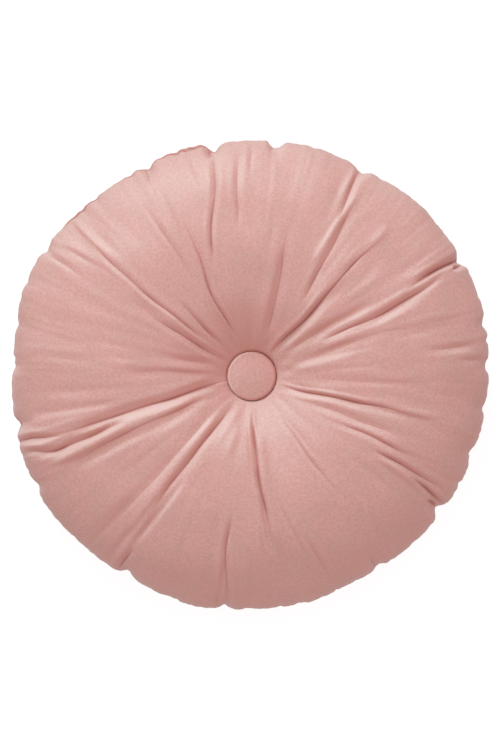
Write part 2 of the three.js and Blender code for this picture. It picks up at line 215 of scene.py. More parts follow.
# Each row gives the angles at the fold radii, the span, the depth, the sides, the tip, the hook and the
# swell. The rows rise by the angle at the rim, and no two of them cross.
FOLDS = tuple(Fold(*row) for row in (
    ((4.6, 4.6, 4.6, 4.5, 4.3), (166, 200), 0.7, (1.6, 1.4), 0.6),
    ((8.6, 8.6, 8.6, 8.3, 8), (132, 200), 1, (2.2, 1.4), 0.6),
    ((17, 17.6, 18.8, 16.2, 15.4), (32, 165), 0.8, (3.2, 3.2), 2.5),
    ((26.4, 26.4, 24.9, 25.9, 27.8), (189, 200), 3.8, (0.8, 0.9), 0.3, 0, 0.1),
    ((27, 27, 25.5, 26.5, 28.6), (60, 190), 2.6, (2.8, 1.8), 0.4, 0, 0.15),
    ((31, 31, 29.6, 29.1, 29.3), (143, 224), 4.6, (0.9, 2.1), 0.25, 0.7, 0.05),
    ((34.2, 34.1, 31.4, 32.2, 33), (25, 110), 1, (3, 2.6), 1.2),
    ((38, 38, 36.3, 36, 36), (112, 168), 0.4, (2, 2), 1.5),
    ((44, 42.6, 41.6, 41.6, 41.6), (106, 160), 0.35, (2.5, 2.5), 2),
    ((50, 46.4, 47.2, 46.2, 45), (22, 110), 1.3, (9, 1.2), 0.6),
    ((50.6, 47, 47.8, 46.8, 45.6), (23, 162), 3.1, (3.4, 1.9), 0.25),
    ((56, 55.8, 57.7, 59, 60.2), (66, 186), 1.9, (3.4, 1.8), 0.5),
    ((61.5, 61.5, 61.4, 61.4, 62.5), (142, 206), 2.1, (1.8, 1.2)),
    ((70.5, 72.2, 76, 75.6, 75.5), (30, 138), 1.7, (3.4, 3), 2),
    ((82.6, 82.6, 82.6, 82.6, 82.6), (92, 146), 0.8, (2.6, 2.6), 2),
    ((85, 85, 85, 85, 84.8), (188, 206), 1.8, (1, 1.2), 0.3),
    ((91, 91, 91, 91, 89.8), (164, 198), 0.9, (1.3, 1.1)),
    ((96, 96, 95.4, 94.7, 93.3), (118, 196), 1.5, (1.7, 1.2), 0.5),
    ((106, 109, 107.5, 101.8, 99.4), (90, 200), 2.2, (1.5, 1.4)),
    ((107.2, 110.4, 108.9, 103.2, 100.7), (184, 200), 3.6, (0.9, 1.8), 0.3, 0, 0.1),
    ((108.5, 112, 110.5, 105.4, 105.9), (150, 204), 0.8, (1.4, 1.2), 0.5),
    ((110.8, 116, 113.7, 113.7, 113.7), (28, 148), 1.8, (1.7, 1.1), 0.4),
    ((119, 119, 117, 116, 114.8), (112, 174), 0.9, (1.5, 1.5), 0.8),
    ((121, 120.5, 119.6, 119.6, 117.4), (174, 204), 1.6, (1.2, 1.2), 0.3),
    ((123, 122, 121.2, 122, 124), (88, 172), 1.2, (1.4, 1.1), 0.5),
    ((134.4, 134.4, 134.2, 134, 134), (28, 98), 1.5, (1.7, 1.5), 0.5),
    ((143.5, 142.6, 142.2, 141, 139.6), (46, 188), 1.9, (1.5, 1.3), 0.3),
    ((146.8, 146.2, 145.4, 145, 145.2), (156, 192), 0.7, (1.4, 1.2), 0.5),
    ((150.6, 150, 148.6, 148.4, 148.1), (24, 114), 1.7, (2.2, 2.4), 0.4),
    ((152, 151.4, 150, 149.6, 149.2), (160, 205), 1.1, (1.3, 1.2)),
    ((163, 167, 169, 168, 167), (28, 78), 1, (2.6, 2.6), 1.2),
    ((176, 176.2, 178.2, 178, 177.4), (28, 116), 0.9, (3, 2.6), 1.6),
    ((192.2, 195.1, 196.2, 196.9, 195.2), (23, 180), 2.9, (3.6, 3.2)),
    ((193, 195.9, 197, 197.2, 195.5), (22, 105), 1.1, (1.2, 9), 0.6),
    ((198.6, 198.6, 198.2, 197.8, 195.8), (160, 214), 2.3, (1.4, 1.5)),
    ((201.5, 201.3, 200, 200.3, 198), (114, 212), 3.5, (1.3, 2.2), 0.4, 1.9),
    ((205, 204.6, 204.2, 205.3, 206.5), (36, 172), 1.7, (3.4, 3), 1.5),
    ((222, 224.4, 226.3, 226.5, 226.6), (38, 182), 1, (3.4, 3), 1.6),
    ((229, 229.5, 230.8, 231.9, 232.3), (116, 186), 0.6, (1.5, 1.4), 0.6),
    ((236, 234.3, 233.1, 233.9, 234), (25, 148), 2.7, (3.1, 3.6), 0.4),
    ((238, 237.5, 236.6, 235.6, 235.4), (168, 207), 2.2, (1.4, 1.5)),
    ((259, 259, 259.6, 260.4, 261.3), (180, 202), 0.9, (1.1, 1)),
    ((261, 261.2, 261.6, 261.7, 264.2), (108, 204), 1.7, (1.5, 1.4)),
    ((268.5, 270.3, 272.4, 274.4, 275.5), (116, 158), 0.7, (1.3, 1.2), 0.5),
    ((271, 272.6, 275.7, 277.9, 278.4), (28, 146), 2.4, (1.5, 1.1), 0.3),
    ((281, 281, 282.8, 286.8, 289), (92, 168), 0.9, (1.2, 1)),
    ((286, 286, 286.5, 289.4, 291.8), (134, 194), 1, (1.2, 1)),
    ((299.6, 299.6, 299.8, 300.2, 300.6), (160, 188), 0.4, (1.8, 1.8), 1),
    ((302, 302, 302.4, 302.8, 303), (176, 199), 1, (1.2, 1)),
    ((304.4, 304.8, 305.9, 306.4, 306.4), (40, 134), 1.2, (1.5, 1.2), 0.5),
    ((323.6, 324.2, 325.2, 325.8, 324.7), (180, 189), 4.6, (0.9, 0.9), 0.3, 0, 0.1),
    ((325.4, 326, 327, 327.6, 326.5), (150, 206), 3.2, (1.2, 1), 0.25, 0, 0.2),
    ((328, 328.2, 328.7, 329.4, 329.4), (110, 196), 2.1, (1.6, 1.1), 0.3),
    ((330.6, 331.1, 333.2, 333.1, 332.6), (74, 162), 1.8, (1.9, 1.1)),
    ((335, 336.6, 337.8, 337.6, 337.6), (50, 142), 1.2, (2.6, 2.2), 1),
    ((341.6, 344.7, 346.5, 345.9, 345.8), (24, 144), 2.8, (2.6, 1.4), 0.3),
    ((357.4, 357.4, 357.4, 357, 357), (44, 128), 0.8, (3.4, 3), 2),
))

# Each row gives both angles, the span, the depth and the width.
SOFT_FOLDS = tuple(SoftFold(*row) for row in (
    ((4, 4), (165, 206), 0.7, 2.5),
    ((5.5, 6.2), (100, 206), -0.6, 3),
    ((8.2, 8.2), (155, 196), 0.7, 2.5),
    ((8, 9.5), (24, 90), -1.3, 4),
    ((15, 14.5), (105, 180), 0.5, 3),
    ((17, 17), (28, 120), 0.8, 4),
    ((20, 17), (105, 188), -0.8, 3),
    ((20, 27.5), (45, 108), -0.8, 5),
    ((23, 28), (100, 184), 1.2, 3),
    ((28, 29), (88, 165), -0.9, 3),
    ((31.5, 31.5), (145, 188), -1, 2.5),
    ((32, 31.5), (50, 122), 1.7, 4),
    ((34.5, 35), (135, 190), 0.8, 3),
    ((38, 38), (50, 190), -0.6, 4.5),
    ((44, 42.5), (80, 150), 1.4, 4),
    ((45, 44), (22, 62), 0.9, 3.5),
    ((47.5, 47.5), (76, 174), -1.9, 3.6),
    ((54.5, 54.5), (88, 168), 0.9, 3.5),
    ((62, 59.5), (98, 182), -1.4, 3),
    ((63.3, 63.3), (158, 206), -1.4, 2.5),
    ((65, 65.5), (130, 188), 1, 3),
    ((71.5, 75.5), (40, 115), 0.6, 4),
    ((79, 77.5), (50, 120), -0.7, 4),
    ((84, 83.5), (100, 188), -0.5, 3),
    ((137.5, 137.5), (142, 184), 0.9, 2.5),
    ((141, 138.5), (140, 204), -1.9, 3),
    ((143.5, 145), (150, 200), -1, 2.2),
    ((145, 143.5), (66, 132), -1, 4.5),
    ((148.5, 148), (84, 124), 0.9, 3),
    ((154, 151.5), (95, 188), -0.4, 3.5),
    ((158, 155), (25, 85), -0.6, 4),
    ((168, 168), (30, 92), 0.6, 4),
    ((172.5, 173.5), (130, 202), -0.6, 3),
    ((174, 175.5), (30, 122), -1, 3.5),
    ((179, 179), (40, 112), 0.6, 3.5),
    ((185, 184.5), (92, 168), 0.6, 3),
    ((190, 186.5), (95, 180), -0.8, 3),
    ((191, 190), (105, 192), 1.5, 3),
    ((193.5, 194.5), (115, 178), -1, 3),
    ((196.5, 196.5), (23, 60), 0.6, 3),
    ((197, 196.3), (160, 204), 1.2, 2.2),
    ((197.3, 197.3), (76, 120), 1.3, 3),
    ((200, 199.3), (104, 192), 1.9, 2.8),
    ((203, 203.5), (45, 180), -2, 4),
    ((209.5, 206.5), (46, 170), 1.5, 4),
    ((226.5, 226), (125, 192), 0.7, 3),
    ((230, 231.5), (38, 168), -1.1, 3.5),
    ((231.5, 232), (152, 202), 1, 2.5),
    ((237, 234.8), (95, 174), 1.6, 3),
    ((242, 239.5), (36, 88), 0.9, 3.5),
    ((255.5, 252), (34, 78), -1, 4),
    ((261.5, 262), (150, 194), 1.2, 2),
    ((269, 274), (36, 98), 1.8, 3.5),
    ((274, 277), (94, 152), 1.8, 2.4),
    ((276.5, 278.5), (40, 148), -1.9, 4.2),
    ((309, 308), (44, 88), 1, 3),
    ((324, 325), (25, 85), -0.5, 4.5),
    ((327, 326.5), (112, 174), -1, 3),
    ((335.5, 335), (108, 178), -0.5, 3),
    ((345, 346), (96, 162), 0.9, 2.2),
    ((346, 348), (52, 165), -1, 3),
    ((347, 346), (24, 60), 1.2, 3),
    ((351.5, 351), (98, 182), 0.5, 3),
))

# Each row gives the gather, its pinch and the lobe's reach.
LOBES = tuple(Lobe(*row) for row in (
    (2.5, 3.8, 201.6),
    (12.7, 3.4, 203.5),
    (28.9, 5.2, 202.7),
    (50.0, 0.0, 199.6),
    (62.0, 4.2, 199.8),
    (84.0, 5.8, 199.0),
    (99.5, 7.6, 200.4),
    (116.5, 4.4, 199.0),
    (134.0, 0.0, 202.8),
    (148.0, 2.8, 206.2),
    (167.0, 1.4, 202.8),
    (177.5, 2.8, 203.6),
    (191.8, 4.6, 205.2),
    (207.0, 3.2, 203.5),
    (225.0, 0.0, 201.2),
    (237.7, 5.2, 198.6),
    (250.0, 1.4, 199.2),
    (263.2, 2.8, 198.0),
    (269.5, 1.0, 195.9),
    (282.0, 1.5, 194.3),
    (303.6, 3.2, 196.4),
    (324.5, 7.0, 197.9),
    (341.2, 2.4, 197.4),
    (352.3, 2.0, 199.6),
))


def mark(mesh: Mesh, name: str, values: Values) -> None:
    """Keeps a value for each of the mesh's points, for its velvet."""
    layer = mesh.attributes.new(name, "FLOAT", "POINT")
    layer.data.foreach_set("value", values)


def light_facing(mesh: Mesh, azimuth: float) -> Values:
    """Works out how far each point of the cloth faces a side, for painted light and shade: cloth that faces
    it is painted paler, and cloth that faces away is painted darker.

    Args:
        mesh: The mesh.
        azimuth: The side that gets the painted highlight, in degrees.

    Returns:
        How far it faces that side, 1 for cloth that faces that side and -1 for cloth that faces away.
    """
    normals = np.zeros(len(mesh.vertices) * 3)
    mesh.vertex_normals.foreach_get("vector", normals)
    normals = normals.reshape(-1, 3)
    toward = math.radians(azimuth)
    return normals[:, 0] * math.cos(toward) + normals[:, 1] * math.sin(toward)


def mesh_of(shape: bmesh.types.BMesh, name: str) -> Mesh:
    """Makes a finished shape a mesh and lets the shape go.

    Args:
        shape: The shape.
        name: The mesh's name.

    Returns:
        The mesh.
    """
    mesh = bpy.data.meshes.new(name)
    shape.to_mesh(mesh)
    shape.free()
    return mesh


def placed(data: bpy.types.ID, name: str) -> bpy.types.Object:
    """Puts a mesh, a lamp or a camera in the scene.

    Args:
        data: What is put there.
        name: The object's name.

    Returns:
        The object.
    """
    thing = bpy.data.objects.new(name, data)
    bpy.context.scene.collection.objects.link(thing)
    return thing


@dataclass(frozen=True)
class Nodes:
    """The nodes of a material or of the surround."""

    tree: bpy.types.NodeTree

    def feed(self, node: bpy.types.Node, inputs: Inputs) -> None:
        """Gives a node's inputs their values, or links them to the outputs that feed them.

        Args:
            node: The node.
            inputs: The value or the output for each input, by the input's name or number.
        """
        for name, source in inputs.items():
            if isinstance(source, Socket):
                self.tree.links.new(source, node.inputs[name])
            else:
                node.inputs[name].default_value = source

    def add(self, kind: str, output: str, inputs: Inputs | None = None, **settings: str) -> Socket:
        """Adds a node.

        Args:
            kind: Its type.
            output: The name of the output that is wanted.
            inputs: What its inputs get.
            settings: Its own settings, by name.

        Returns:
            That output.
        """
        node = self.tree.nodes.new(kind)
        for name, setting in settings.items():
            setattr(node, name, setting)
        self.feed(node, inputs or {})
        return node.outputs[output]

    def fit(self, value: Socket, span: Pair, gains: Pair, passage: Passage = Passage.EVEN) -> Socket:
        """Fits a value that goes through a span between two gains, and keeps it there past the span."""
        ends = {"From Min": span[0], "From Max": span[1], "To Min": gains[0], "To Max": gains[1]}
        return self.add("ShaderNodeMapRange", "Result", {"Value": value} | ends,
                        interpolation_type=passage.value)

    def mix(self, share: Socket, low: Colour | Socket, high: Colour) -> Socket:
        """Mixes two colours, by the share of the high one."""
        return self.add("ShaderNodeMix", "Result", {"Factor": share, "A": low, "B": high}, data_type="RGBA")

    def noise(self, place: Socket, scale: float, detail: float) -> Socket:
        """Adds a noise at the given coordinates, by its waves in a metre and its finer layers."""
        return self.add("ShaderNodeTexNoise", "Fac", {"Vector": place, "Scale": scale, "Detail": detail})

    def attribute(self, name: str) -> Socket:
        """Reads one of the piece's attributes."""
        return self.add("ShaderNodeAttribute", "Fac", attribute_name=name)


@dataclass(frozen=True)
class CoverSection:
    """The cover's smooth section, before any fold is laid in it. Its sizes are millimetres."""

    crown_height: float = 118.0
    crown_radius: float = 106.0
    seam_height: float = 54.0
    rim_exponent: float = 1.12
    seat_height: float = 80.0
    seat_radius: float = 20.5
    collar_height: float = 83.9
    collar_radius: float = 20.85
    slope_exponent: float = 2.2
    underside_outer: float = 138.0
    underside_inner: float = 78.0
    back_dimple: float = 16.0
    normal_step: float = 0.004

    def point(self, place: Values, reach: Values) -> tuple[Values, Values]:
        """Finds points of the section.

        Args:
            place: The band's number plus the share of the way along it, for each point.
            reach: How far the rim reaches from the axis there.

        Returns:
            The radius and the height of each point.
        """
        band = np.clip(np.floor(place), 0, len(Band) - 1)
        share = place - band
        rising = np.clip(np.sin(share * math.pi / 2), 0, 1) ** self.rim_exponent
        falling = np.clip(np.cos(share * math.pi / 2), 0, 1) ** self.rim_exponent
        sunk = (1 - share) ** self.slope_exponent
        choose = [band == one.value for one in Band]
        radius = np.select(choose, [
            share * self.seat_radius,
            self.seat_radius + share * (self.collar_radius - self.seat_radius),
            self.collar_radius + share * (self.crown_radius - self.collar_radius),
            self.crown_radius + rising * (reach - self.crown_radius),
            self.underside_outer + falling * (reach - self.underside_outer),
            self.underside_outer + share * (self.underside_inner - self.underside_outer),
            self.underside_inner * (1 - share),
        ])
        height = np.select(choose, [
            np.full_like(share, self.seat_height),
            self.seat_height + share * (self.collar_height - self.seat_height),
            self.crown_height - sunk * (self.crown_height - self.collar_height),
            self.seam_height + falling * (self.crown_height - self.seam_height),
            self.seam_height * (1 - rising),
            np.zeros_like(share),
            self.back_dimple * ramp(share, 0.0, 1.0),
        ])
        return radius, height

    def normal(self, place: Values, reach: Values) -> tuple[Values, Values]:
        """Finds the section's outward normals.

        Args:
            place: The places of the points.
            reach: How far the rim reaches there.

        Returns:
            The normals' parts along the radius and along the height.
        """
        before = self.point(np.maximum(place - self.normal_step, 0.0), reach)
        after = self.point(np.minimum(place + self.normal_step, float(len(Band))), reach)
        out = after[0] - before[0]
        up = after[1] - before[1]
        length = np.maximum(np.hypot(out, up), TINY)
        return -up / length, out / length


@dataclass(frozen=True)
class Pleats:
    """Fine uneven waves round a hub, from seeded draws, between where they rise and where they fall."""

    seed: int
    fewest: int
    most: int
    height: float
    rise: Pair
    fall: Pair
    sunk: float = 0.0
    uneven: Pair = (0.3, 1.0)

    def at(self, spots: Spots) -> Values:
        """Adds up the waves.

        Args:
            spots: The points.

        Returns:
            The waves' height there, in millimetres.
        """
        draw = np.random.RandomState(self.seed)
        counts = np.arange(self.fewest, self.most)
        sizes = draw.uniform(*self.uneven, len(counts))
        starts = draw.uniform(0.0, 2 * math.pi, len(counts))
        total = np.zeros_like(spots.angle)
        for count, size, start in zip(counts, sizes, starts):
            total += size * np.cos(np.radians(spots.angle) * count + start)
        waves = self.height * total / math.sqrt(np.sum(sizes ** 2) / 2)
        return (waves - self.sunk) * ramp(spots.radius, *self.rise) * (1 - ramp(spots.radius, *self.fall))


@dataclass(frozen=True)
class Streaks:
    """Long soft wrinkles that run out from the hub, drift sideways and fade, from seeded draws.

    They are full along the busy azimuth and calm across it, grow up to the full radius, and are deeper than
    high by the share hollow. They drift by up to drift radians over a drift run, come in over the radii of
    rise, and lose the share lost of their height over those of fall.
    """

    seed: int = 21
    waves: int = 60
    fewest: int = 16
    most: int = 84
    drift: float = 2.6
    drift_run: float = 100.0
    height: float = 0.23
    lengths: Pair = (60.0, 140.0)
    hollow: float = 0.35
    calm: float = 0.3
    busy_azimuth: float = 4.0
    full_radius: float = 120.0
    rise: Pair = (34.0, 110.0)
    fall: Pair = (120.0, 190.0)
    lost: float = 0.5

    def at(self, spots: Spots) -> Values:
        """Adds up the wrinkles.

        Args:
            spots: The points.

        Returns:
            The wrinkles' height there, in millimetres.
        """
        draw = np.random.RandomState(self.seed)
        radius = spots.radius
        total = np.zeros_like(radius)
        for count in draw.randint(self.fewest, self.most, self.waves):
            start, fade = draw.uniform(0.0, 2 * math.pi, 2)
            drift = draw.uniform(-1, 1) * self.drift
            strength = 0.5 + 0.5 * np.cos(2 * math.pi * radius / draw.uniform(*self.lengths) + fade)
            swing = start + drift * radius / self.drift_run
            total += strength * np.cos(np.radians(spots.angle) * count + swing)
        mean_square = 3 / 16
        total /= math.sqrt(self.waves * mean_square)
        sideways = self.calm + (1 - self.calm) * np.cos(np.radians(spots.angle - self.busy_azimuth)) ** 2
        spread = sideways * np.minimum(radius / self.full_radius, 1.0)
        spread *= ramp(radius, *self.rise) * (1 - self.lost * ramp(radius, *self.fall))
        return self.height * spread * (total - self.hollow * np.abs(total))


@dataclass(frozen=True)
class Puckers:
    """The small puckers that the seam's thread draws in the cloth. Some run long_run times as far."""

    seed: int = 11
    count: int = 96
    deep: float = 1.0
    half_width: float = 2.7
    run: float = 10.0
    long_run: float = 2.4
    long_share: float = 0.3
    shift: float = 0.35
    depths: Pair = (0.25, 1.0)
    widths: Pair = (0.7, 1.3)
    table_steps: int = 7200

    def at(self, angle: Values, from_seam: Values) -> Values:
        """Adds up the puckers.

        Args:
            angle: The angles round the rim, in degrees.
            from_seam: The distances from the seam.

        Returns:
            What the puckers add along the normal, in millimetres.
        """
        draw = np.random.RandomState(self.seed)
        grid = np.arange(self.table_steps) * 360.0 / self.table_steps
        near = np.zeros_like(grid)
        far = np.zeros_like(grid)
        pitch = 360.0 / self.count
        for number in range(self.count):
            middle = (number + draw.uniform(-self.shift, self.shift)) * pitch
            depth = draw.uniform(*self.depths) * self.deep
            across = Spots(MEAN_REACH, grid).across(middle)
            dip = depth * bell(across, self.half_width * draw.uniform(*self.widths))
            near -= dip
            far -= dip * (draw.uniform() < self.long_share)
        near -= near.mean()
        short = np.interp(angle, grid, near, period=360.0) * bell(from_seam, self.run)
        long = np.interp(angle, grid, far, period=360.0) * bell(from_seam, self.long_run * self.run)
        return short + long


@dataclass(frozen=True)
class Lumps:
    """The filling's soft unevenness, from seeded draws."""

    seed: int = 5
    waves: int = 26
    lengths: Pair = (42.0, 120.0)
    height: float = 0.7
    rise: Pair = (30.0, 80.0)

    def at(self, spots: Spots) -> Values:
        """Adds up the lumps.

        Args:
            spots: The points.

        Returns:
            The lumps' height there, in millimetres.
        """
        x, y = spots.flat()
        draw = np.random.RandomState(self.seed)
        total = np.zeros_like(x)
        for _ in range(self.waves):
            length = draw.uniform(*self.lengths)
            heading, start = draw.uniform(0.0, 2 * math.pi, 2)
            along = x * math.cos(heading) + y * math.sin(heading)
            total += np.cos(2 * math.pi * along / length + start)
        return self.height * total / math.sqrt(self.waves / 2) * ramp(spots.radius, *self.rise)


@dataclass(frozen=True)
class Ripple:
    """A slight unevenness along a fold, whose start depends on where the fold lies."""

    length: float
    start: float
    height: float

    def at(self, radius: Values, fold: Fold) -> Values:
        """The ripple along a fold."""
        return self.height * np.sin(radius / self.length + fold.middle * self.start)


@dataclass(frozen=True)
class FrontFolds:
    """How the folds of the front face run and fade, and how much painted shade their creases get. Lengths
    are millimetres.

    A run is never longer than the share run_most of a fold's span. A crease opens wider from the hub
    outwards, and is as wide as its sides say at the even radius. The mesh's columns crowd at the creases.
    """

    run_in: float = 24.0
    run_out: float = 44.0
    soft_run: float = 20.0
    run_most: float = 0.45
    wobble: Ripple = Ripple(length=7.5, start=2.3, height=0.35)
    wobble_radius: float = 20.0
    uneven: Ripple = Ripple(length=9.0, start=1.7, height=0.12)
    finer_uneven: Ripple = Ripple(length=4.1, start=3.1, height=0.06)
    hook_radius: float = 176.0
    hook_run: float = 18.0
    hub_opening: float = 0.55
    even_radius: float = 80.0
    dark_wide: float = 0.75
    dark_deep: float = 2.1
    crowding: float = 3.0
    crowding_deep: float = 1.6
    crowding_angle: float = 1.0
    table_step: float = 0.1

    def angle(self, fold: Fold, radius: Values) -> Values:
        """Follows a fold.

        Args:
            fold: The fold.
            radius: The radii at which its angle is wanted.

        Returns:
            Its angles there, with a slight wobble and its hook.
        """
        wobble = np.degrees(self.wobble.at(radius, fold) / np.maximum(radius, self.wobble_radius))
        swing = fold.hook * bell(radius - self.hook_radius, self.hook_run)
        return curve_through(FOLD_RADII, np.array(fold.angles), radius) + wobble + swing

    def _across(self, fold: Fold, spots: Spots) -> Values:
        """The distances of points from a fold, below 0 towards smaller angles."""
        return spots.across(self.angle(fold, spots.radius))

    def _shown(self, span: Pair, radius: Values, run_in: float, run_out: float) -> Values:
        """Works out how much of a fold shows: it fades at both ends.

        Args:
            span: The two radii between which it shows.
            radius: The radii of the points.
            run_in: The length over which it comes in.
            run_out: The length over which it goes out.

        Returns:
            The share that shows at each radius.
        """
        start, end = span
        most = (end - start) * self.run_most
        started = ramp(radius, start, start + min(run_in, most))
        return started * (1 - ramp(radius, end - min(run_out, most), end))

    def _share(self, fold: Fold, radius: Values) -> Values:
        """How much of a crease shows at each radius, with its unevenness."""
        uneven = 1 + self.uneven.at(radius, fold) + self.finer_uneven.at(radius, fold)
        return self._shown(fold.span, radius, self.run_in, self.run_out) * uneven

    def at(self, spots: Spots) -> Values:
        """Adds up the creases, and the soft hollows and ridges between them.

        Args:
            spots: The points.

        Returns:
            What they add along the normal.
        """
        total = np.zeros_like(spots.radius)
        opening = self.hub_opening + (1 - self.hub_opening) * spots.radius / self.even_radius
        for fold in FOLDS:
            valley = fold.valley(self._across(fold, spots) / opening)
            total -= self._share(fold, spots.radius) * fold.deep * valley
        for fold in SOFT_FOLDS:
            middle = np.interp(spots.radius, fold.span, fold.angles)
            share = self._shown(fold.span, spots.radius, self.soft_run, self.soft_run)
            total -= fold.deep * share * bell(spots.across(middle), fold.wide)
        return total

    def darkness(self, spots: Spots) -> Values:
        """Finds how much painted shade each point gets from how deep in a crease it lies.

        Args:
            spots: The points.

        Returns:
            The share of painted shade, 1 at the bottom of a deep crease and 0 away from all creases.
        """
        darkest = np.zeros_like(spots.radius)
        for fold in FOLDS:
            share = self._share(fold, spots.radius) * min(fold.deep / self.dark_deep, 1.0)
            wide = self.dark_wide * max(fold.deep / self.dark_deep, 1.0)
            fading = np.exp(-np.abs(self._across(fold, spots)) / wide)
            darkest = np.maximum(darkest, share * fading)
        return darkest

    def follow(self, base: Values, radius: Values) -> Values:
        """Crowds the columns of a mesh towards the creases and bends them along the creases.

        Args:
            base: The points' even angles.
            radius: Their radii.

        Returns:
            The points' new angles.
        """
        rims = np.array([fold.rim for fold in FOLDS])
        grid = np.arange(0.0, 360.0, self.table_step)
        density = np.ones_like(grid)
        for fold in FOLDS:
            sharpness = min(fold.deep / self.crowding_deep, 1.0)
            density += self.crowding * sharpness * bell(turn(fold.rim, grid), self.crowding_angle)
        total = np.concatenate([[0.0], np.cumsum(density)])
        crowded = np.interp(base / 360.0 * total[-1], total, np.append(grid, 360.0))
        here = np.stack([self.angle(fold, radius) for fold in FOLDS])
        marks = np.concatenate([[rims[-1] - 360.0], rims, [rims[0] + 360.0]])
        bends = np.concatenate([here[-1:] - 360.0, here, here[:1] + 360.0])
        after = np.clip(np.searchsorted(marks, crowded, side="right"), 1, len(marks) - 1)
        share = (crowded - marks[after - 1]) / (marks[after] - marks[after - 1])
        every = np.arange(len(base))
        low = bends[after - 1, every]
        high = bends[after, every]
        return np.mod(low + share * (high - low), 360.0)


@dataclass(frozen=True)
class PaintedLightSide:
    """Painted light and shade on the cover, paler on cloth that faces azimuth and darker on cloth that
    faces away, and how much of it shows on the cushion's own form.

    It shows fully in the folds, and less on the form: on_form out on the crown and on_hub near the hub,
    where it is turned a little, and never more than most.
    """

    azimuth: float = 112.0
    on_form: float = 0.42
    on_hub: float = 1.15
    hub_turn: float = 10.0
    hub_fall: Pair = (30.0, 105.0)
    most: float = 0.38

    def rise(self, mesh: Mesh, spots: Spots, out: Values) -> Values:
        """Works out how far the cloth faces the lit side, for painted light and shade.

        Args:
            mesh: The cover's mesh.
            spots: Its points.
            out: How far the section without folds faces away from the axis there.

        Returns:
            The amount at each point, above 0 for a painted highlight and below 0 for painted shade.
        """
        near_hub = 1 - ramp(spots.radius, *self.hub_fall)
        on_form = self.on_form + (self.on_hub - self.on_form) * near_hub
        form_azimuth = self.azimuth + self.hub_turn * near_hub
        form_rise = on_form * out * np.cos(np.radians(spots.angle - form_azimuth))
        in_folds = light_facing(mesh, self.azimuth) - out * np.cos(np.radians(spots.angle - self.azimuth))
        return in_folds + self.most * np.tanh(form_rise / self.most)


@dataclass(frozen=True)
class Tint:
    """A colour that velvet takes on: the values of its cause between which it comes in, and its most."""

    colour: Colour
    span: Pair
    most: float = 1.0


@dataclass(frozen=True)
class VelvetFinish:
    """Cotton velvet: soft patches of laid nap, painted shade in the creases and in the seam's groove, a
    painted highlight on cloth that faces the light side and painted shade on cloth that faces away, and
    fine fibres.

    Scales are waves in a metre, and the fibres' height is metres.
    """

    name: str
    rosy: Colour = (0.635, 0.276, 0.246, 1.0)
    sandy: Tint = Tint((0.575, 0.278, 0.236, 1.0), span=(0.35, 0.65))
    dusky: Tint = Tint((0.500, 0.212, 0.182, 1.0), span=(0.32, 0.72), most=0.8)
    # pale is a painted highlight on cloth that faces the light side, and shaded is painted shade on cloth
    # that faces away.
    pale: Tint = Tint((0.750, 0.435, 0.390, 1.0), span=(0.04, 0.6), most=0.95)
    shaded: Tint = Tint((0.545, 0.195, 0.163, 1.0), span=(-0.06, -0.55), most=0.72)
    # deep is painted shade, laid into the creases and the seam's groove by the piece's crease shade
    # attribute.
    deep: Tint = Tint((0.330, 0.098, 0.082, 1.0), span=(0.0, 1.0), most=0.85)
    patch_scale: float = 55.0
    mottle_scale: float = 520.0
    mottle_span: Pair = (0.3, 0.7)
    rise_gains: Pair = (1.2, 0.8)
    fibre_scale: float = 1500.0
    fibre_height: float = 0.0004
    fibre_strength: float = 0.35
    sheen: Colour = (1.0, 0.93, 0.92, 1.0)
    sheen_weight: float = 0.25
    sheen_roughness: float = 0.3
    roughness: float = 0.5
    gloss: float = 0.15

    def material(self) -> bpy.types.Material:
        """Builds the material.

        Returns:
            The velvet, whose patterns read Object coordinates and the piece's attributes for painted crease
            shade and for painted light and shade.
        """
        material = bpy.data.materials.new(self.name)
        material.use_nodes = True
        nodes = Nodes(material.node_tree)
        place = nodes.add("ShaderNodeTexCoord", "Object")
        patches = nodes.noise(place, self.patch_scale, detail=4.0)
        mottle = nodes.noise(place, self.mottle_scale, detail=3.0)
        gain = nodes.fit(mottle, self.mottle_span, self.rise_gains)
        # The painted light attribute, broken up by the mottle, drives the painted highlight (pale) and the
        # painted shade (shaded).
        rise = nodes.add("ShaderNodeMath", "Value", {0: nodes.attribute("painted_light"), 1: gain},
                         operation="MULTIPLY")
        # The crease shade attribute drives the deep tint: painted shade in the creases and the seam's
        # groove.
        causes = (patches, mottle, rise, rise, nodes.attribute("crease_shade"))
        tints = (self.sandy, self.dusky, self.pale, self.shaded, self.deep)
        colour = self.rosy
        for cause, tint in zip(causes, tints):
            share = nodes.fit(cause, tint.span, (0.0, tint.most), Passage.SOFT)
            colour = nodes.mix(share, colour, tint.colour)
        fibres = nodes.noise(place, self.fibre_scale, detail=2.0)
        pile = nodes.add("ShaderNodeBump", "Normal", {
            "Height": fibres, "Strength": self.fibre_strength, "Distance": self.fibre_height,
        })
        nodes.feed(material.node_tree.nodes["Principled BSDF"], {
            "Base Color": colour, "Normal": pile, "Roughness": self.roughness,
            "Specular IOR Level": self.gloss, "Sheen Weight": self.sheen_weight,
            "Sheen Roughness": self.sheen_roughness, "Sheen Tint": self.sheen,
        })
        return material


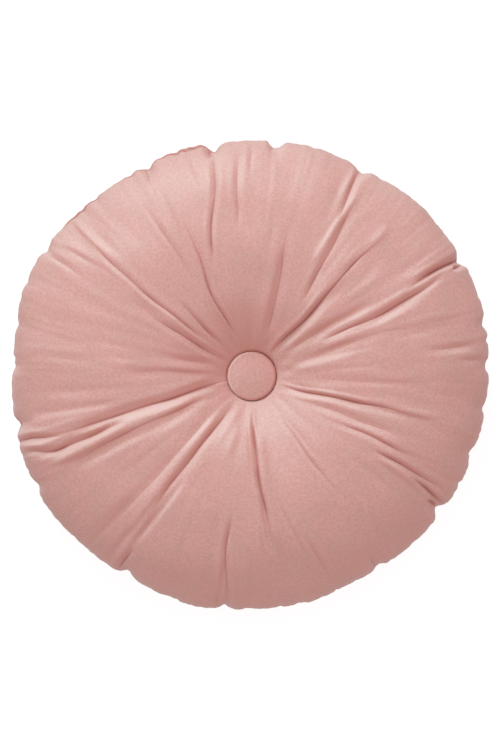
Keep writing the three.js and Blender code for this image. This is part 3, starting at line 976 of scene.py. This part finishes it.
@dataclass
class FilledCover:
    """The cushion itself: two velvet faces, sewn at the rim and drawn in at the middle.

    Its lengths are millimetres. Round roll_middle, an angle in degrees, the seam has rolled on to the front
    face by roll_share of a band.
    """

    axis: Vector
    section: CoverSection = CoverSection()
    columns: int = 800
    rings: dict[Band, int] = field(default_factory=lambda: {
        Band.SEAT: 2, Band.COLLAR: 3, Band.SLOPE: 34, Band.FRONT_RIM: 46,
        Band.BACK_RIM: 24, Band.UNDERSIDE: 6, Band.BACK_DIMPLE: 6,
    })
    seam_crowding: float = 1.4
    weld: float = 1e-4
    pinch_width: float = 5.5
    pinch_run: float = 24.0
    groove_deep: float = 1.6
    groove_wide: float = 1.5
    rim_band_length: float = 60.0
    roll_middle: float = 121.0
    roll_half_span: float = 25.0
    roll_full: float = 0.6
    roll_share: float = 0.1
    folds: FrontFolds = FrontFolds()
    # Painted light and shade on the sides of the cloth that face towards and away from the light.
    nap: PaintedLightSide = PaintedLightSide()
    puckers: Puckers = Puckers()
    fine_puckers: Puckers = Puckers(seed=12, count=170, deep=0.45, half_width=1.3, run=6.5)
    streaks: Streaks = Streaks()
    rim_streaks: Streaks = Streaks(seed=41, waves=70, fewest=70, most=200, drift=1.2, height=0.075,
                                   calm=0.6, busy_azimuth=20.0, rise=(125.0, 185.0), lost=0.0)
    lumps: Lumps = Lumps()
    hub_pleats: Pleats = Pleats(seed=3, fewest=8, most=26, height=0.2,
                                rise=(23.0, 32.0), fall=(36.0, 90.0))
    back_pleats: Pleats = Pleats(seed=8, fewest=9, most=22, height=1.0,
                                 rise=(4.0, 45.0), fall=(55.0, 96.0), sunk=1.6)

    def build(self) -> bpy.types.Object:
        """Builds the cover.

        Returns:
            The cover as one closed mesh in place.
        """
        mesh, place, base = self._wrapped()
        reach_at = self._reach_curve()
        even_radius, _ = self.section.point(place, reach_at(base))
        angle = self.folds.follow(base, even_radius)
        reach = reach_at(angle)
        rolled = self._rolled(place, angle)
        radius, height = self.section.point(rolled, reach)
        out, up = self.section.normal(rolled, reach)
        relief = self._relief(place, Spots(radius, angle), height, reach)
        spots = Spots(radius + out * relief, angle)
        self._write(mesh, spots, np.maximum(height + up * relief, 0.0))
        # Painted shade for the creases and the groove of the rolled seam.
        mark(mesh, "crease_shade", self._crease_shade(place, spots))
        # Painted light and shade on the sides of the cloth that face towards and away from the light.
        mark(mesh, "painted_light", self.nap.rise(mesh, spots, out))
        return placed(mesh, "cushion_cover")

    def _places(self) -> Values:
        """Spaces the rings.

        Returns:
            Their places, from the middle of the front to the middle of the back, crowded at the seam.
        """
        places = [0.0]
        for band, count in self.rings.items():
            shares = np.arange(1, count + 1) / count
            if band is Band.FRONT_RIM:
                shares = 1 - (1 - shares) ** self.seam_crowding
            if band is Band.BACK_RIM:
                shares = shares ** self.seam_crowding
            places += list(band.value + shares)
        return np.array(places)

    def _wrapped(self) -> tuple[Mesh, Values, Values]:
        """Wraps a flat grid round into a closed surface, with a ring for each place.

        Returns:
            The mesh, each point's place, and its angle in degrees from 0 to 360.
        """
        places = self._places()
        shape = bmesh.new()
        around = shape.verts.layers.float.new("around")
        along = shape.verts.layers.float.new("along")
        bmesh.ops.create_grid(shape, x_segments=self.columns, y_segments=len(places) - 1, size=0.5)
        radii, heights = self.section.point(places, np.full_like(places, MEAN_REACH))
        for point in shape.verts:
            share = (point.co.x + 0.5) % 1.0
            ring = round((point.co.y + 0.5) * (len(places) - 1))
            point[around] = share * 360.0
            point[along] = places[ring]
            turned = share * 2 * math.pi
            point.co = (radii[ring] * math.cos(turned), radii[ring] * math.sin(turned), heights[ring])
        bmesh.ops.remove_doubles(shape, verts=shape.verts, dist=self.weld)
        bmesh.ops.recalc_face_normals(shape, faces=shape.faces)
        mesh = mesh_of(shape, "cushion_cover")
        mesh.shade_smooth()
        return mesh, self._taken(mesh, "along"), self._taken(mesh, "around")

    def _taken(self, mesh: Mesh, name: str) -> Values:
        """Takes an attribute off the mesh.

        Args:
            mesh: The mesh.
            name: The attribute's name.

        Returns:
            The attribute's value at each point.
        """
        layer = mesh.attributes[name]
        values = np.zeros(len(mesh.vertices))
        layer.data.foreach_get("value", values)
        mesh.attributes.remove(layer)
        return values

    def _write(self, mesh: Mesh, spots: Spots, height: Values) -> None:
        """Moves the mesh's points.

        Args:
            mesh: The mesh.
            spots: Where its points go.
            height: Their heights.
        """
        x, y = spots.flat()
        corners = np.stack([x, y, height], axis=1) * MM + [self.axis.x, self.axis.y, 0.0]
        mesh.vertices.foreach_set("co", corners.ravel())
        mesh.update()

    def _reach_curve(self) -> Callable[[Values], Values]:
        """Draws the smooth outline of the rim, before it is gathered.

        Returns:
            A function that gives the rim's reach at an angle.
        """
        gathers = np.array([lobe.gather for lobe in LOBES])
        middles = gathers + turn(gathers, np.roll(gathers, -1)) / 2
        around = np.concatenate([middles - 360.0, middles, middles + 360.0])
        reaches = np.tile([lobe.reach for lobe in LOBES], 3)
        return lambda angle: curve_through(around, reaches, np.mod(angle, 360.0))

    def _rolled(self, place: Values, angle: Values) -> Values:
        """Moves the rings near the seam to where the seam has rolled on to the front face.

        Args:
            place: The points' places.
            angle: Their angles.

        Returns:
            Their new places.
        """
        near = np.clip(1 - np.abs(place - SEAM_PLACE), 0, 1)
        away = np.abs(turn(self.roll_middle, angle)) / self.roll_half_span
        return place - self.roll_share * near ** 2 * (1 - ramp(away, self.roll_full, 1.0))

    def _relief(self, place: Values, spots: Spots, height: Values, reach: Values) -> Values:
        """Adds up all that stands off the smooth section.

        Args:
            place: The points' places on the even rings.
            spots: The points on the smooth section.
            height: Their heights there.
            reach: The rim's reach at their angles.

        Returns:
            The distance that each point moves along the normal, in millimetres.
        """
        seam_place = self._rolled(np.full_like(place, SEAM_PLACE), spots.angle)
        seam_radius, seam_height = self.section.point(seam_place, reach)
        from_seam = np.hypot(spots.radius - seam_radius, height - seam_height)
        relief = -self.groove_deep * bell(from_seam, self.groove_wide)
        for thread in (self.puckers, self.fine_puckers):
            relief += thread.at(spots.angle, from_seam)
        for lobe in LOBES:
            pinch = lobe.pinch * bell(spots.across(lobe.gather), self.pinch_width)
            relief -= pinch * bell(from_seam, self.pinch_run)
        front = (self.folds, self.hub_pleats, self.lumps, self.streaks, self.rim_streaks)
        front_relief = sum(layer.at(spots) for layer in front)
        relief += np.where(place <= SEAM_PLACE, front_relief, self.back_pleats.at(spots))
        return np.where(place >= Band.SLOPE.value, relief, 0.0)

    def _crease_shade(self, place: Values, spots: Spots) -> Values:
        """Finds how much painted shade each point gets from how deep it lies in a crease, or in the groove
        of the rolled seam.

        Args:
            place: The points' places.
            spots: The points.

        Returns:
            The share of painted shade, from 0 to about 1, for the velvet's colour.
        """
        creased = np.where(place > SEAM_PLACE, 0.0, self.folds.darkness(spots))
        roll = SEAM_PLACE - self._rolled(np.full_like(place, SEAM_PLACE), spots.angle)
        from_seam = np.abs(place - SEAM_PLACE) * self.rim_band_length
        grooved = np.clip(roll / self.roll_share, 0, 1) * bell(from_seam, self.groove_wide)
        return np.maximum(creased, grooved)

    def dress(self, piece: bpy.types.Object, finish: VelvetFinish) -> None:
        """Gives the cover its velvet and its place in the frame.

        Args:
            piece: The cover.
            finish: Its velvet.
        """
        piece.data.materials.append(finish.material())
        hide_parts("cushion")
        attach(piece, "root")


@dataclass
class CoveredButton:
    """The button: a mould with velvet drawn tight over it. Its sizes are millimetres."""

    low: Vector
    high: Vector
    tight: float = 0.3
    aside: Pair = (-0.15, 0.1)
    # The side of the button whose edge gets a painted highlight; the far edge gets painted shade.
    painted_light_azimuth: float = 168.0
    foot_flat: float = 0.5
    foot_round: float = 1.8
    side: float = 1.8
    edge_round: float = 3.2
    dome: float = 2.4
    columns: int = 192
    arc_steps: int = 10
    weld: float = 1e-3

    def build(self) -> bpy.types.Object:
        """Builds the button.

        Returns:
            The button as one closed mesh in place.
        """
        shape = bmesh.new()
        chain = [shape.verts.new((radius, 0.0, height)) for radius, height in self._section()]
        edges = [shape.edges.new(pair) for pair in zip(chain, chain[1:])]
        bmesh.ops.spin(shape, geom=chain + edges, cent=(0, 0, 0), axis=(0, 0, 1), dvec=(0, 0, 0),
                       angle=2 * math.pi, steps=self.columns, use_merge=True, use_duplicate=False)
        poles = [point for point in shape.verts if math.hypot(point.co.x, point.co.y) < self.weld]
        bmesh.ops.remove_doubles(shape, verts=poles, dist=self.weld)
        bmesh.ops.recalc_face_normals(shape, faces=shape.faces)
        middle = (self.low + self.high) / 2
        across, along = self.aside
        seat = Matrix.Translation((middle.x + across * MM, middle.y + along * MM, self.low.z))
        bmesh.ops.transform(shape, matrix=seat @ Matrix.Scale(MM, 4), verts=shape.verts)
        mesh = mesh_of(shape, "covered_button")
        mesh.shade_smooth()
        # Painted highlight and shade on the button's edges, by the side that they face.
        mark(mesh, "painted_light", light_facing(mesh, self.painted_light_azimuth))
        return placed(mesh, "covered_button")

    def _section(self) -> list[Pair]:
        """Works out the button's section.

        Returns:
            Its points from the middle of the foot, round the edge, to the middle of the dome.
        """
        rim = (self.high.x - self.low.x) / 2 / MM - self.tight
        side_top = self.foot_round + self.side
        shoulder = rim - self.edge_round
        top = side_top + self.edge_round
        turns = [math.pi / 2 * step / self.arc_steps for step in range(self.arc_steps + 1)]
        points = [(0.0, 0.0), (rim * self.foot_flat, 0.0)]
        for turned in turns:
            inset = self.foot_round * (1 - math.sin(turned))
            points.append((rim - inset, self.foot_round * (1 - math.cos(turned))))
        for turned in turns:
            out = self.edge_round * math.cos(turned)
            points.append((shoulder + out, side_top + self.edge_round * math.sin(turned)))
        for step in range(1, 2 * self.arc_steps + 1):
            share = 1 - step / (2 * self.arc_steps)
            points.append((shoulder * share, top + self.dome * (1 - share ** 2)))
        return points

    def dress(self, piece: bpy.types.Object, finish: VelvetFinish) -> None:
        """Gives the button its velvet and its place in the frame.

        Args:
            piece: The button.
            finish: Its velvet.
        """
        piece.data.materials.append(finish.material())
        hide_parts("button")
        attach(piece, "root")


@dataclass
class PhotoCamera:
    """The camera straight above the cushion, as the photo was taken. Sizes in pixels are the photo's."""

    low: Vector
    high: Vector
    frame_wide: int = 500
    frame_high: int = 750
    cushion_wide: float = 475.0
    cushion_middle: Pair = (250.5, 373.5)
    distance: float = 2.0
    rim_height: float = 54.0 * MM
    sensor: float = 36.0

    def build(self) -> None:
        """Builds the camera, as the scene's own."""
        pixel = (self.high.x - self.low.x) / self.cushion_wide
        across = (self.frame_wide / 2 - self.cushion_middle[0]) * pixel
        down = (self.frame_high / 2 - self.cushion_middle[1]) * pixel
        data = bpy.data.cameras.new("photo_camera")
        data.sensor_width = self.sensor
        data.lens = self.sensor * self.distance / (self.frame_high * pixel)
        camera = placed(data, "photo_camera")
        middle = (self.low + self.high) / 2
        camera.location = (middle.x + across, middle.y - down, self.rim_height + self.distance)
        bpy.context.scene.camera = camera


@dataclass(frozen=True)
class SoftLight:
    """One large soft lamp, aimed at the cushion. Its lengths are metres."""

    name: str
    azimuth: float
    elevation: float
    power: float
    distance: float = 2.0
    size: float = 1.0
    lights_cloth: bool = True
    lights_gloss: bool = True

    def build(self, target: Vector) -> None:
        """Builds the lamp.

        Args:
            target: The point that it is aimed at.
        """
        data = bpy.data.lights.new(self.name, "AREA")
        data.shape = "DISK"
        data.size = self.size
        data.energy = self.power
        around = math.radians(self.azimuth)
        up = math.radians(self.elevation)
        back = Vector((math.cos(around) * math.cos(up), math.sin(around) * math.cos(up), math.sin(up)))
        lamp = placed(data, self.name)
        lamp.location = target + back * self.distance
        lamp.rotation_euler = back.to_track_quat("Z", "Y").to_euler()
        lamp.visible_diffuse = self.lights_cloth
        lamp.visible_glossy = self.lights_gloss


@dataclass(frozen=True)
class FilmCurve:
    """A camera's soft shoulder: highlights turn pale before they turn white."""

    shoulder: float = 0.5
    white: float = 2.0
    steps: int = 8

    def apply(self) -> None:
        """Sets the scene's tones."""
        settings = bpy.context.scene.view_settings
        settings.view_transform = "Standard"
        settings.use_curve_mapping = True
        mapping = settings.curve_mapping
        mapping.clip_max_x = self.white
        mapping.clip_max_y = 1.0
        # The last of the four curves sets all three colours alike.
        points = mapping.curves[3].points
        points[1].location = (self.white, 1.0)
        for step in range(1, self.steps):
            light = self.white * step / self.steps
            points.new(light, self._tone(light))
        mapping.update()

    def _tone(self, light: float) -> float:
        """The tone that an amount of light gives, 1 for white."""
        top = self.white / (1 + self.shoulder * self.white)
        return light / (1 + self.shoulder * light) / top


@dataclass(frozen=True)
class FloorFinish:
    """A plain pale floor that glows a little, so that it turns as white as a photographer's ground."""

    colour: Colour = (0.9, 0.9, 0.9, 1.0)
    glow: float = 1.3
    roughness: float = 0.9
    gloss: float = 0.1

    def material(self) -> bpy.types.Material:
        """Builds the material.

        Returns:
            The floor's material.
        """
        material = bpy.data.materials.new("studio_floor")
        material.use_nodes = True
        Nodes(material.node_tree).feed(material.node_tree.nodes["Principled BSDF"], {
            "Base Color": self.colour, "Roughness": self.roughness, "Specular IOR Level": self.gloss,
            "Emission Color": self.colour, "Emission Strength": self.glow,
        })
        return material


@dataclass
class Studio:
    """A pale floor, even light all round, a soft key light, and a low light that only the nap shows.

    The surround passes from its lower to its upper colour over the heights of horizon, 1 straight up.
    """

    floor_size: float = 40.0
    floor: FloorFinish = FloorFinish()
    above: Colour = (1.0, 1.0, 1.0, 1.0)
    below: Colour = (0.64, 0.64, 0.64, 1.0)
    horizon: Pair = (-0.15, 0.1)
    surround_strength: float = 1.2
    key: SoftLight = SoftLight("key_light", azimuth=106, elevation=35, power=33.5, lights_gloss=False)
    nap: SoftLight = SoftLight("nap_light", azimuth=112, elevation=18, power=100.0, lights_cloth=False)
    film: FilmCurve = FilmCurve()

    def build(self, target: Vector) -> None:
        """Builds the studio.

        Args:
            target: The point that the lights are aimed at.
        """
        self._lay_floor()
        self._light_surround()
        self.key.build(target)
        self.nap.build(target)
        self.film.apply()

    def _lay_floor(self) -> None:
        """Lays the floor under the cushion, unseen by the light that the cushion gets."""
        shape = bmesh.new()
        bmesh.ops.create_grid(shape, x_segments=1, y_segments=1, size=self.floor_size / 2)
        mesh = mesh_of(shape, "studio_floor")
        mesh.materials.append(self.floor.material())
        floor = placed(mesh, "studio_floor")
        floor.visible_diffuse = False
        floor.visible_glossy = False

    def _light_surround(self) -> None:
        """Lights the scene evenly from above, and less from below the floor's height."""
        world = bpy.data.worlds.new("studio_surround")
        world.use_nodes = True
        nodes = Nodes(world.node_tree)
        facing = nodes.add("ShaderNodeTexCoord", "Generated")
        height = nodes.add("ShaderNodeSeparateXYZ", "Z", {"Vector": facing})
        share = nodes.fit(height, self.horizon, (0.0, 1.0))
        surround = nodes.mix(share, self.below, self.above)
        nodes.feed(world.node_tree.nodes["Background"], {
            "Color": surround, "Strength": self.surround_strength,
        })
        bpy.context.scene.world = world


def main() -> None:
    """Builds the camera, the studio, the cushion and its button, and reports each."""
    logging.basicConfig(level=logging.INFO, format="%(message)s")
    cushion_low, cushion_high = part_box("cushion")
    button_low, button_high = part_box("button")
    PhotoCamera(cushion_low, cushion_high).build()
    Studio().build(target=(cushion_low + cushion_high) / 2)
    cover = FilledCover(axis=(button_low + button_high) / 2)
    cover_piece = cover.build()
    cover.dress(cover_piece, VelvetFinish("cushion_velvet"))
    LOG.info("cushion cover: %d faces", len(cover_piece.data.polygons))
    button = CoveredButton(button_low, button_high)
    button_piece = button.build()
    button.dress(button_piece, VelvetFinish("button_velvet"))
    LOG.info("covered button: %d faces", len(button_piece.data.polygons))


if __name__ == "__main__":
    main()
